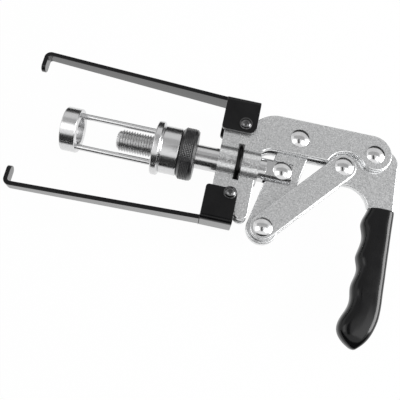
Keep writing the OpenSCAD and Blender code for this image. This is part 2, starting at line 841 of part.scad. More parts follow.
frame_plate_front();
frame_plate_rear();
guide_o_ring();
lever_pivot_rivet();
handle_pivot_rivet();
upper_arm_screw();
lower_arm_screw();
upper_arm_nut();
lower_arm_nut();
upper_spacer();
lower_spacer();
upper_arm();
lower_arm();
lever();
link_front();
link_rear();
link_lever_rivet();
link_handle_rivet();
handle_plate();
handle_grip();
plunger_rod();
threaded_stud();
fork_pin();
cage_hub();
cage_rod_upper();
cage_rod_lower();
retainer_cup();
knurled_nut();
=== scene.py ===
"""Dressed model of a valve spring compressor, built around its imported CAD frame.

Lengths are in metres and angles in degrees, unless a name or a docstring says otherwise.
"""

import logging
import math
from collections.abc import Iterator
from contextlib import contextmanager
from dataclasses import dataclass, field
from enum import Enum

import bpy
import bmesh
from mathutils import Matrix, Vector


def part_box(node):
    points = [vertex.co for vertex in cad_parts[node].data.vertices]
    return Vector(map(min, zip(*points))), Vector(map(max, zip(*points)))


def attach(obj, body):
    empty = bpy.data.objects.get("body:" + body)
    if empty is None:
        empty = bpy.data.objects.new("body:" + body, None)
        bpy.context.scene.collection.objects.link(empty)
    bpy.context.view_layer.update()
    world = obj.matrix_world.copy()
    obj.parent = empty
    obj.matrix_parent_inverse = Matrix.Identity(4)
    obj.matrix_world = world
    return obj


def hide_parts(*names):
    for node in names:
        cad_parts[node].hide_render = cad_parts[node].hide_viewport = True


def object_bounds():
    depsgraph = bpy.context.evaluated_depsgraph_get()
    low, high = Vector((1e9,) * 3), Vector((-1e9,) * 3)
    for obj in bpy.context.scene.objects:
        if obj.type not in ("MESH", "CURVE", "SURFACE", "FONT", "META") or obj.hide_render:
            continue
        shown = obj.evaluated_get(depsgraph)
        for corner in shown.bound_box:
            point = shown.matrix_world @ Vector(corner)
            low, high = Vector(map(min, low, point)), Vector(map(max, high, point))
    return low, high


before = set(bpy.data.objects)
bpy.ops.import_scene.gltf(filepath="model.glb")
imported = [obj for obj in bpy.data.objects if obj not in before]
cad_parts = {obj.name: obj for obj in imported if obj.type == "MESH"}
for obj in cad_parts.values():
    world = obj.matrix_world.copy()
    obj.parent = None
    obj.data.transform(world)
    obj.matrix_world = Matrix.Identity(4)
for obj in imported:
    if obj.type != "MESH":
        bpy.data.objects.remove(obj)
CAD_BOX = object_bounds()
LOG = logging.getLogger("compressor")
MM = 0.001

Feed = bpy.types.NodeSocket | float
Point = tuple[float, float, float]
Colour = tuple[float, float, float]
Section = tuple[float, float, float]
Span = tuple[float, float]
Size = tuple[float, float]
Profile = list[tuple[float, float]]
WHOLE: Span = (0.0, 1.0)


class Slot(Enum):
    """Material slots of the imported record."""

    ZINC = "zinc_plate"
    POLISHED = "polished_steel"
    THREAD = "thread_steel"
    RIVET = "rivet_steel"
    BLACK = "black_steel"
    OXIDE = "black_oxide"
    KNURL = "knurled_black"
    GRIP = "grip_vinyl"
    RUBBER = "ring_rubber"


class Body(Enum):
    """Rigid bodies of the mechanism."""

    FRAME = "frame"
    HANDLE = "handle"
    LINK = "link"
    LEVER = "lever"
    PLUNGER = "plunger"
    CAGE = "cage"
    NUT = "nut"
    UPPER_ARM = "upper_arm"
    LOWER_ARM = "lower_arm"


class Along(Enum):
    """Axis that a turned piece is turned about."""

    X = "x"
    Z = "z"


class Keep(Enum):
    """What is kept of a piece that is cut with another."""

    OUTSIDE = "DIFFERENCE"
    COMMON = "INTERSECT"


class Effect(Enum):
    """Surface effects that finishes share, by the names of their node groups."""

    MOTTLE = "plating_mottle"
    BRUSHING = "turning_marks"
    PEEL = "coat_peel"


def new_group(effect: Effect, inputs: dict[str, float], outputs: tuple[str, ...]) -> bpy.types.NodeTree:
    """Starts a shader node group of plain values.

    Args:
        effect: the effect that the group holds.
        inputs: input names with their default values.
        outputs: output names.

    Returns:
        The new node tree, with an input and an output node.
    """
    tree = bpy.data.node_groups.new(effect.value, "ShaderNodeTree")
    for key, value in inputs.items():
        socket = tree.interface.new_socket(key, in_out="INPUT", socket_type="NodeSocketFloat")
        socket.default_value = value
    for key in outputs:
        tree.interface.new_socket(key, in_out="OUTPUT", socket_type="NodeSocketFloat")
    tree.nodes.new("NodeGroupInput").name = "in"
    tree.nodes.new("NodeGroupOutput").name = "out"
    return tree


def add_place(tree: bpy.types.NodeTree) -> bpy.types.NodeSocket:
    """Adds the Object coordinates to a node tree."""
    return tree.nodes.new("ShaderNodeTexCoord").outputs["Object"]


def add_noise(tree: bpy.types.NodeTree, place: bpy.types.NodeSocket, scale: bpy.types.NodeSocket,
              detail: float, roughness: float = 0.5) -> bpy.types.NodeSocket:
    """Adds a noise texture node.

    Args:
        tree: node tree that takes the node.
        place: coordinates of the noise.
        scale: repeats per metre.
        detail: octaves.
        roughness: strength of the octaves.

    Returns:
        The noise's value.
    """
    noise = tree.nodes.new("ShaderNodeTexNoise")
    noise.inputs["Detail"].default_value = detail
    noise.inputs["Roughness"].default_value = roughness
    tree.links.new(place, noise.inputs["Vector"])
    tree.links.new(scale, noise.inputs["Scale"])
    return noise.outputs["Fac"]


def add_math(tree: bpy.types.NodeTree, operation: str, first: Feed, second: Feed) -> bpy.types.NodeSocket:
    """Adds a math node on sockets or numbers.

    Args:
        tree: node tree that takes the node.
        operation: name of the operation.
        first: first socket or number.
        second: second socket or number.

    Returns:
        The result socket.
    """
    node = tree.nodes.new("ShaderNodeMath")
    node.operation = operation
    for socket, value in zip(node.inputs, (first, second)):
        if isinstance(value, (int, float)):
            socket.default_value = value
        else:
            tree.links.new(value, socket)
    return node.outputs[0]


def add_range(tree: bpy.types.NodeTree, value: bpy.types.NodeSocket, span: Span = WHOLE,
              to: Span = WHOLE) -> bpy.types.NodeSocket:
    """Adds a clamped map range node.

    Args:
        tree: node tree that takes the node.
        value: socket to map.
        span: input range.
        to: output range.

    Returns:
        The mapped socket.
    """
    node = tree.nodes.new("ShaderNodeMapRange")
    tree.links.new(value, node.inputs["Value"])
    node.inputs["From Min"].default_value, node.inputs["From Max"].default_value = span
    node.inputs["To Min"].default_value, node.inputs["To Max"].default_value = to
    return node.outputs["Result"]


@dataclass
class Effects:
    """Shared surface effects, each a node group built once."""

    spot_band: Span = (0.36, 0.64)
    cloud_band: Span = (0.35, 0.65)
    ring_band: Span = (0.3, 0.7)
    mark_band: Span = (0.4, 0.7)
    groups: dict[Effect, bpy.types.NodeTree] = field(default_factory=dict)

    def __post_init__(self) -> None:
        """Builds the groups."""
        self.groups[Effect.MOTTLE] = self.mottle()
        self.groups[Effect.BRUSHING] = self.brushing()
        self.groups[Effect.PEEL] = self.peel()

    def mottle(self) -> bpy.types.NodeTree:
        """Cloudy plated mottling with fine speckle.

        Returns:
            A group with a Mask and a Height output.
        """
        tree = new_group(Effect.MOTTLE, {"Cloud": 140.0, "Speckle": 900.0, "Mix": 0.5}, ("Mask", "Height"))
        given, out = tree.nodes["in"].outputs, tree.nodes["out"].inputs
        place = add_place(tree)
        cloud = add_noise(tree, place, given["Cloud"], detail=3)
        speckle = add_noise(tree, place, given["Speckle"], detail=5, roughness=0.72)
        spots = add_range(tree, speckle, self.spot_band)
        drift = add_range(tree, cloud, self.cloud_band)
        share = add_math(tree, "MULTIPLY", spots, given["Mix"])
        rest = add_math(tree, "SUBTRACT", 1.0, given["Mix"])
        mask = add_math(tree, "ADD", share, add_math(tree, "MULTIPLY", drift, rest))
        tree.links.new(mask, out["Mask"])
        tree.links.new(spots, out["Height"])
        return tree

    def brushing(self) -> bpy.types.NodeTree:
        """Fine tool marks that run round the X axis.

        Returns:
            A group with a Mask output.
        """
        tree = new_group(Effect.BRUSHING, {"Pitch": 9000.0}, ("Mask",))
        split = tree.nodes.new("ShaderNodeSeparateXYZ")
        tree.links.new(add_place(tree), split.inputs[0])
        rings = tree.nodes.new("ShaderNodeTexNoise")
        rings.noise_dimensions = "1D"
        rings.inputs["Detail"].default_value = 3
        tree.links.new(split.outputs["X"], rings.inputs["W"])
        tree.links.new(tree.nodes["in"].outputs["Pitch"], rings.inputs["Scale"])
        mask = add_range(tree, rings.outputs["Fac"], self.ring_band)
        tree.links.new(mask, tree.nodes["out"].inputs["Mask"])
        return tree

    def peel(self) -> bpy.types.NodeTree:
        """Orange-peel and faint handling marks of a coated surface.

        Returns:
            A group with a Mask and a Height output.
        """
        tree = new_group(Effect.PEEL, {"Grain": 1400.0, "Marks": 90.0}, ("Mask", "Height"))
        given, out = tree.nodes["in"].outputs, tree.nodes["out"].inputs
        place = add_place(tree)
        grain = add_noise(tree, place, given["Grain"], detail=2)
        marks = add_noise(tree, place, given["Marks"], detail=5, roughness=0.65)
        tree.links.new(add_range(tree, marks, self.mark_band), out["Mask"])
        tree.links.new(grain, out["Height"])
        return tree


@dataclass(frozen=True)
class Finish:
    """A finish whose colour and gloss vary under one shared effect."""

    name: str
    effect: Effect
    settings: dict[str, float]
    dark: Colour
    light: Colour
    gloss: Span
    metallic: float = 0.0
    ior: float = 1.5
    bump: float = 0.05
    bump_size: float = 0.06 * MM
    sheen: float = 0.0
    sheen_power: float = 4.0
    sheen_most: float = 2.8

    def add_sheen(self, tree: bpy.types.NodeTree, shader: bpy.types.Node) -> None:
        """Raises the reflection at grazing angles.

        Args:
            tree: the material's node tree.
            shader: its shader.
        """
        facing = tree.nodes.new("ShaderNodeLayerWeight").outputs["Facing"]
        rise = add_math(tree, "MULTIPLY", add_math(tree, "POWER", facing, self.sheen_power), self.sheen)
        most = add_math(tree, "MINIMUM", rise, self.sheen_most)
        tree.links.new(add_math(tree, "ADD", most, self.ior), shader.inputs["IOR"])

    def add_bump(self, tree: bpy.types.NodeTree, shader: bpy.types.Node,
                 height: bpy.types.NodeSocket) -> None:
        """Roughens the surface by the effect's height.

        Args:
            tree: the material's node tree.
            shader: its shader.
            height: the effect's height.
        """
        bump = tree.nodes.new("ShaderNodeBump")
        bump.inputs["Strength"].default_value = self.bump
        bump.inputs["Distance"].default_value = self.bump_size
        tree.links.new(height, bump.inputs["Height"])
        tree.links.new(bump.outputs["Normal"], shader.inputs["Normal"])

    def material(self, effects: Effects) -> bpy.types.Material:
        """Builds the material.

        Args:
            effects: the shared node groups.

        Returns:
            The new material.
        """
        made = bpy.data.materials.new(self.name)
        made.use_nodes = True
        tree = made.node_tree
        shader = tree.nodes["Principled BSDF"]
        shader.inputs["Metallic"].default_value = self.metallic
        shader.inputs["IOR"].default_value = self.ior
        group = tree.nodes.new("ShaderNodeGroup")
        group.node_tree = effects.groups[self.effect]
        for key, value in self.settings.items():
            group.inputs[key].default_value = value
        mask = group.outputs["Mask"]
        colour = tree.nodes.new("ShaderNodeMix")
        colour.data_type = "RGBA"
        colour.inputs["A"].default_value = (*self.dark, 1.0)
        colour.inputs["B"].default_value = (*self.light, 1.0)
        tree.links.new(mask, colour.inputs["Factor"])
        tree.links.new(colour.outputs["Result"], shader.inputs["Base Color"])
        tree.links.new(add_range(tree, mask, to=self.gloss), shader.inputs["Roughness"])
        if self.sheen:
            self.add_sheen(tree, shader)
        self.add_bump(tree, shader, group.outputs.get("Height", mask))
        return made


FINISHES: dict[Slot, Finish] = {
    Slot.ZINC: Finish(
        "bright_zinc", Effect.MOTTLE, {"Cloud": 420.0, "Speckle": 1050.0, "Mix": 0.84},
        dark=(0.50, 0.505, 0.51), light=(0.97, 0.975, 0.98), gloss=(0.18, 0.28),
        metallic=0.86, bump=0.08, bump_size=0.08 * MM),
    Slot.POLISHED: Finish(
        "turned_bright_steel", Effect.BRUSHING, {"Pitch": 5200.0},
        dark=(0.58, 0.58, 0.585), light=(0.80, 0.80, 0.805), gloss=(0.17, 0.27),
        metallic=1.0, bump_size=0.05 * MM),
    Slot.THREAD: Finish(
        "cut_thread_steel", Effect.BRUSHING, {"Pitch": 9000.0},
        dark=(0.50, 0.50, 0.50), light=(0.72, 0.72, 0.725), gloss=(0.26, 0.38),
        metallic=1.0, bump=0.06, bump_size=0.05 * MM),
    Slot.RIVET: Finish(
        "bright_rivet", Effect.MOTTLE, {"Cloud": 260.0, "Speckle": 1500.0, "Mix": 0.35},
        dark=(0.64, 0.64, 0.645), light=(0.80, 0.80, 0.805), gloss=(0.10, 0.16),
        metallic=1.0),
    Slot.BLACK: Finish(
        "gloss_black_coat", Effect.PEEL, {"Grain": 1500.0, "Marks": 70.0},
        dark=(0.003, 0.003, 0.0035), light=(0.006, 0.006, 0.0065), gloss=(0.16, 0.26),
        ior=1.35, bump=0.04, bump_size=0.08 * MM, sheen=9.5),
    Slot.OXIDE: Finish(
        "black_oxide", Effect.PEEL, {"Grain": 2600.0, "Marks": 240.0},
        dark=(0.11, 0.11, 0.112), light=(0.20, 0.20, 0.202), gloss=(0.08, 0.16),
        metallic=1.0, ior=1.6),
    Slot.KNURL: Finish(
        "blackened_knurl", Effect.PEEL, {"Grain": 2400.0, "Marks": 300.0},
        dark=(0.006, 0.006, 0.007), light=(0.016, 0.016, 0.017), gloss=(0.28, 0.42),
        ior=1.65, bump=0.06, bump_size=0.08 * MM, sheen=5.0),
    Slot.GRIP: Finish(
        "dipped_vinyl", Effect.PEEL, {"Grain": 420.0, "Marks": 60.0},
        dark=(0.003, 0.003, 0.0035), light=(0.006, 0.006, 0.0065), gloss=(0.13, 0.20),
        ior=1.38, bump=0.02, bump_size=0.2 * MM),
    Slot.RUBBER: Finish(
        "black_rubber", Effect.PEEL, {"Grain": 2000.0, "Marks": 200.0},
        dark=(0.001, 0.001, 0.001), light=(0.004, 0.004, 0.004), gloss=(0.16, 0.26),
        ior=1.24),
}


class Paintbox:
    """All materials of the tool, one per slot."""

    def __init__(self) -> None:
        """Builds every finish."""
        effects = Effects()
        self.materials = {slot: finish.material(effects) for slot, finish in FINISHES.items()}

    def paint(self, obj: bpy.types.Object, slot: Slot) -> None:
        """Gives an object one finish."""
        obj.data.materials.clear()
        obj.data.materials.append(self.materials[slot])


@dataclass
class Bench:
    """Modelling steps that the sub-assemblies share."""

    paints: Paintbox
    weld: float = 1e-7
    cad_weld: float = 2e-6
    flat_angle: float = 0.6

    @staticmethod
    def clear() -> None:
        """Deselects every object."""
        bpy.ops.object.select_all(action="DESELECT")

    def pick(self, obj: bpy.types.Object) -> None:
        """Makes one object the only selected and active one.

        Args:
            obj: the object.
        """
        self.clear()
        obj.select_set(True)
        bpy.context.view_layer.objects.active = obj

    def settle(self, obj: bpy.types.Object) -> None:
        """Puts an object's place, turn and size into its mesh."""
        self.pick(obj)
        bpy.ops.object.transform_apply(location=True, rotation=True, scale=True)

    @contextmanager
    def editing(self, obj: bpy.types.Object, selected: bool = True) -> Iterator[None]:
        """Opens an object's mesh for edit operators, and closes it after them.

        Args:
            obj: the piece.
            selected: whether the whole mesh starts selected, or none of it.

        Returns:
            The context that the operators run in.
        """
        self.pick(obj)
        bpy.ops.object.mode_set(mode="EDIT")
        bpy.ops.mesh.select_all(action="SELECT" if selected else "DESELECT")
        yield
        bpy.ops.object.mode_set(mode="OBJECT")

    def turn(self, name: str, profile: Profile, along: Along, steps: int = 96,
             ring: bool = False) -> bpy.types.Object:
        """Turns a profile about an axis: a circle is extruded and resized from point to point.

        Args:
            name: name of the piece.
            profile: (height, radius) points in metres.
            along: axis that it is turned about.
            steps: sides of the circle.
            ring: True if the last loop joins the first, as on a piece with a bore.

        Returns:
            The turned piece.
        """
        self.clear()
        height, radius = profile[0]
        bpy.ops.mesh.primitive_circle_add(vertices=steps, radius=radius, location=(0, 0, height),
                                          fill_type="NOTHING" if ring else "NGON")
        obj = bpy.context.active_object
        obj.name = obj.data.name = name
        self.settle(obj)
        extrude = bpy.ops.mesh.extrude_edges_move if ring else bpy.ops.mesh.extrude_region_move
        with self.editing(obj):
            for high, wide in profile[1:]:
                extrude(TRANSFORM_OT_translate={"value": (0, 0, high - height)})
                grow = wide / radius
                bpy.ops.transform.resize(value=(grow, grow, 1), center_override=(0, 0, high))
                height, radius = high, wide
            bpy.ops.mesh.select_all(action="SELECT")
            if ring:
                bpy.ops.mesh.remove_doubles(threshold=self.weld)
            bpy.ops.mesh.normals_make_consistent(inside=False)
        if along is Along.X:
            obj.rotation_euler = (0, math.pi / 2, 0)
            self.settle(obj)
        return obj

    def soften(self, name: str, node: str) -> bpy.types.Object:
        """Copies a CAD node's mesh with its triangles merged into clean faces.

        Args:
            name: name of the piece.
            node: the CAD node.

        Returns:
            The copy.
        """
        obj = bpy.data.objects.new(name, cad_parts[node].data.copy())
        obj.data.name = name
        bpy.context.scene.collection.objects.link(obj)
        self.pick(obj)
        if obj.data.has_custom_normals:
            bpy.ops.mesh.customdata_custom_splitnormals_clear()
        with self.editing(obj):
            bpy.ops.mesh.remove_doubles(threshold=self.cad_weld)
            bpy.ops.mesh.dissolve_limited(angle_limit=math.radians(self.flat_angle))
        return obj

    def copy(self, blank: bpy.types.Object, name: str, at: Vector) -> bpy.types.Object:
        """Copies a piece made at the origin, with a mesh of its own, to its place.

        Args:
            blank: the piece at the origin.
            name: name of the copy.
            at: where the copy goes.

        Returns:
            The copy.
        """
        self.pick(blank)
        bpy.ops.object.duplicate(linked=False)
        obj = bpy.context.active_object
        obj.name = obj.data.name = name
        obj.location = at
        self.settle(obj)
        return obj

    def bevel(self, obj: bpy.types.Object, width: float, segments: int = 3, angle: float = 32.0,
              clamp: bool = True) -> None:
        """Rounds an object's sharp edges.

        Args:
            obj: the piece.
            width: width of the rounding in metres.
            segments: steps of the rounding.
            angle: least angle of an edge that is rounded, in degrees.
            clamp: whether short edges hold the width back everywhere.
        """
        self.pick(obj)
        bevel = obj.modifiers.new("round", "BEVEL")
        bevel.width = width
        bevel.segments = segments
        bevel.limit_method = "ANGLE"
        bevel.angle_limit = math.radians(angle)
        bevel.use_clamp_overlap = clamp
        bpy.ops.object.modifier_apply(modifier=bevel.name)

    def cut(self, obj: bpy.types.Object, tool: bpy.types.Object, keep: Keep = Keep.OUTSIDE) -> None:
        """Cuts one piece with another and removes the cutter.

        Args:
            obj: the piece.
            tool: the cutter.
            keep: what is kept of the piece.
        """
        self.pick(obj)
        cut = obj.modifiers.new("cut", "BOOLEAN")
        cut.operation = keep.value
        cut.object = tool
        cut.solver = "EXACT"
        bpy.ops.object.modifier_apply(modifier=cut.name)
        bpy.data.objects.remove(tool)

    def hand_over(self, obj: bpy.types.Object, node: str, body: Body, slot: Slot,
                  smooth: float = 35.0) -> None:
        """Smooths, paints and files a finished piece.

        Args:
            obj: the piece.
            node: the CAD node that it stands for.
            body: the body that it moves with.
            slot: its finish.
            smooth: largest angle between faces that shade as one, in degrees.
        """
        self.pick(obj)
        bpy.ops.object.shade_smooth_by_angle(angle=math.radians(smooth))
        even = obj.modifiers.new("even", "WEIGHTED_NORMAL")
        even.keep_sharp = True
        bpy.ops.object.modifier_apply(modifier=even.name)
        self.paints.paint(obj, slot)
        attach(obj, body.value)
        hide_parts(node)
        LOG.info("%s stands for %s", obj.name, node)


@dataclass
class PlateWork:
    """The flat stampings: frame plates, link straps, lever and handle plate, and the spacers."""

    bench: Bench
    edge: float = 1.0 * MM
    edge_steps: int = 4
    spacer_edge: float = 1.0 * MM / 3
    spacer_steps: int = 2
    wall_slope: float = 0.05
    face_slope: float = 0.99
    guide_half: float = 15.5 * MM
    guide_len: float = 30.6 * MM
    stampings: dict[str, Body] = field(default_factory=lambda: {
        "frame_plate_front": Body.FRAME,
        "frame_plate_rear": Body.FRAME,
        "link_front": Body.LINK,
        "link_rear": Body.LINK,
        "lever": Body.LEVER,
        "handle_plate": Body.HANDLE,
    })
    spacers: tuple[str, ...] = ("upper_spacer", "lower_spacer")

    def round_off(self, obj: bpy.types.Object) -> None:
        """Rounds the edges between flat faces and walls, except at the plunger guide.

        Args:
            obj: the stamping.
        """
        guide_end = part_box("frame_plate_front")[0].x + self.guide_len
        with self.bench.editing(obj, selected=False):
            bpy.ops.mesh.select_mode(type="EDGE")
            shell = bmesh.from_edit_mesh(obj.data)
            for edge in shell.edges:
                slopes = sorted(abs(face.normal.z) for face in edge.link_faces)
                middle = (edge.verts[0].co + edge.verts[1].co) / 2
                at_guide = middle.x < guide_end and abs(middle.y) < self.guide_half
                crisp = slopes[0] < self.wall_slope and slopes[-1] > self.face_slope
                edge.select = crisp and not at_guide
            bmesh.update_edit_mesh(obj.data)
            bpy.ops.mesh.bevel(offset=self.edge, segments=self.edge_steps, profile=0.5, affect="EDGES",
                               clamp_overlap=False)
            bpy.ops.mesh.select_mode(type="VERT")

    def build(self) -> None:
        """Rounds the stampings' and spacers' edges and dresses them."""
        for node, body in self.stampings.items():
            obj = self.bench.soften(f"{node}_stamping", node)
            self.round_off(obj)
            self.bench.hand_over(obj, node, body, Slot.ZINC)
        for node in self.spacers:
            obj = self.bench.soften(f"{node}_bush", node)
            self.bench.bevel(obj, self.spacer_edge, self.spacer_steps)
            self.bench.hand_over(obj, node, Body.FRAME, Slot.ZINC)


@dataclass
class Arms:
    """The two hooked arms."""

    bench: Bench
    edge: float = 0.5 * MM

    def build(self) -> None:
        """Rounds the arms' edges and dresses them."""
        for node, body in (("upper_arm", Body.UPPER_ARM), ("lower_arm", Body.LOWER_ARM)):
            obj = self.bench.soften(f"{node}_hook", node)
            self.bench.bevel(obj, self.edge, clamp=False)
            self.bench.hand_over(obj, node, body, Slot.BLACK)


@dataclass
class Rivets:
    """The domed rivets and the fork pin."""

    bench: Bench
    head_r: float = 6.9 * MM
    head_h: float = 2.7 * MM
    head_rim: float = 0.35 * MM
    head_chamfer: float = 0.12 * MM
    shank_r: float = 3.0 * MM
    steps: int = 64
    dome_steps: int = 14
    smooth: float = 40.0
    length_digits: int = 6
    homes: dict[str, Body] = field(default_factory=lambda: {
        "lever_pivot_rivet": Body.FRAME,
        "handle_pivot_rivet": Body.FRAME,
        "link_lever_rivet": Body.LINK,
        "link_handle_rivet": Body.LINK,
        "fork_pin": Body.PLUNGER,
    })

    def head(self, base: float) -> Profile:
        """Profile of a head from its seat to its crown.

        Args:
            base: height of the head's seat.

        Returns:
            (height, radius) points.
        """
        rise = self.head_h - self.head_rim
        cap_r = (self.head_r ** 2 + rise ** 2) / (2 * rise)
        sweep = math.asin(self.head_r / cap_r)
        points = [(base, self.head_r - self.head_chamfer), (base + self.head_chamfer, self.head_r),
                  (base + self.head_rim, self.head_r)]
        for i in range(1, self.dome_steps):
            turn = sweep * (1 - i / self.dome_steps)
            points.append((base + self.head_h - cap_r * (1 - math.cos(turn)), cap_r * math.sin(turn)))
        return points

    def blank(self, length: float) -> bpy.types.Object:
        """Turns a rivet with a head at each end.

        Args:
            length: length over both heads.

        Returns:
            The rivet, centred on the origin.
        """
        base = length / 2 - self.head_h
        upper = [(base, self.shank_r), *self.head(base)]
        lower = [(-height, radius) for height, radius in reversed(upper)]
        return self.bench.turn("rivet_blank", lower + upper, Along.Z, self.steps)

    def build(self) -> None:
        """Turns a rivet of each length, then copies it to its places and dresses the copies."""
        blanks: dict[float, bpy.types.Object] = {}
        for node, body in self.homes.items():
            low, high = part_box(node)
            length = round(high.z - low.z, self.length_digits)
            if length not in blanks:
                blanks[length] = self.blank(length)
            obj = self.bench.copy(blanks[length], f"{node}_dome", (low + high) / 2)
            self.bench.hand_over(obj, node, body, Slot.RIVET, self.smooth)
        for blank in blanks.values():
            bpy.data.objects.remove(blank)


@dataclass
class Fasteners:
    """The arm screws with their key sockets, and the lock nuts behind."""

    bench: Bench
    sides: tuple[str, ...] = ("upper", "lower")
    steps: int = 48
    shank_r: float = 2.5 * MM
    shank_chamfer: float = 0.5 * MM
    head_r: float = 4.75 * MM
    head_h: float = 2.8 * MM
    head_rim: float = 0.6 * MM
    head_step: float = 0.5 * MM
    dome_angles: tuple[int, ...] = (14, 24, 36, 48, 60, 68)
    crown_share: float = 0.30
    key_r: float = 3.0 / math.sqrt(3) * MM
    key_depth: float = 1.82 * MM
    head_edge: float = 0.22 * MM
    edge_steps: int = 2
    edge_angle: float = 50.0
    screw_smooth: float = 30.0
    nut_w: float = 8.0 * MM
    nut_chamfer: float = 0.5 * MM
    nut_spare: float = 0.1 * MM
    bore_clear: float = 0.05 * MM
    bore_spare: float = 1.0 * MM
    nut_smooth: float = 25.0

    def screw(self) -> bpy.types.Object:
        """Turns a button-head screw on the Z axis and sinks its key socket.

        Returns:
            The screw, at its own height.
        """
        low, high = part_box(f"{self.sides[0]}_arm_screw")
        seat = high.z - self.head_h
        inner = self.head_r - self.head_step
        turns = [math.radians(angle) for angle in self.dome_angles]
        dome = [(seat + self.head_h * math.sin(turn), inner * math.cos(turn)) for turn in turns]
        profile = [(low.z, self.shank_r - self.shank_chamfer), (low.z + self.shank_chamfer, self.shank_r),
                   (seat, self.shank_r), (seat, self.head_r), (seat + self.head_rim, self.head_r),
                   (seat + self.head_rim, inner), *dome, (high.z, self.head_r * self.crown_share)]
        obj = self.bench.turn("screw_blank", profile, Along.Z, self.steps)
        self.bench.clear()
        bpy.ops.mesh.primitive_cylinder_add(vertices=6, radius=self.key_r, depth=2 * self.key_depth,
                                            location=(0, 0, high.z))
        self.bench.cut(obj, bpy.context.active_object)
        self.bench.bevel(obj, self.head_edge, self.edge_steps, self.edge_angle)
        return obj

    def nut(self) -> bpy.types.Object:
        """Chamfers a hexagon on the Z axis by crossing it with a turned blank, and bores it.

        Returns:
            The nut, at its own height.
        """
        low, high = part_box(f"{self.sides[0]}_arm_nut")
        corner = self.nut_w / math.sqrt(3)
        self.bench.clear()
        bpy.ops.mesh.primitive_cylinder_add(vertices=6, radius=corner, depth=high.z - low.z,
                                            location=(0, 0, (low.z + high.z) / 2),
                                            rotation=(0, 0, math.pi / 6))
        obj = bpy.context.active_object
        self.bench.settle(obj)
        wide, narrow = corner + self.nut_spare, corner - 2 * self.nut_chamfer
        round_blank = [(low.z, narrow), (low.z + self.nut_chamfer, wide),
                       (high.z - self.nut_chamfer, wide), (high.z, narrow)]
        self.bench.cut(obj, self.bench.turn("round_blank", round_blank, Along.Z, self.steps), Keep.COMMON)
        bore_r = self.shank_r + self.bore_clear
        bore = [(low.z - self.bore_spare, bore_r), (high.z + self.bore_spare, bore_r)]
        self.bench.cut(obj, self.bench.turn("bore", bore, Along.Z, self.steps))
        return obj

    def place(self, blank: bpy.types.Object, node: str, name: str, smooth: float) -> None:
        """Copies a fastener to its node's place and dresses the copy.

        Args:
            blank: the fastener on the Z axis.
            node: the CAD node.
            name: name of the copy.
            smooth: largest angle between faces that shade as one, in degrees.
        """
        low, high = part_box(node)
        at = Vector(((low.x + high.x) / 2, (low.y + high.y) / 2, 0))
        obj = self.bench.copy(blank, name, at)
        self.bench.hand_over(obj, node, Body.FRAME, Slot.OXIDE, smooth)

    def build(self) -> None:
        """Makes one screw and one nut, and copies them to both sides."""
        screw, nut = self.screw(), self.nut()
        for side in self.sides:
            self.place(screw, f"{side}_arm_screw", f"{side}_arm_screw_button", self.screw_smooth)
            self.place(nut, f"{side}_arm_nut", f"{side}_arm_nut_hexagon", self.nut_smooth)
        bpy.data.objects.remove(screw)
        bpy.data.objects.remove(nut)


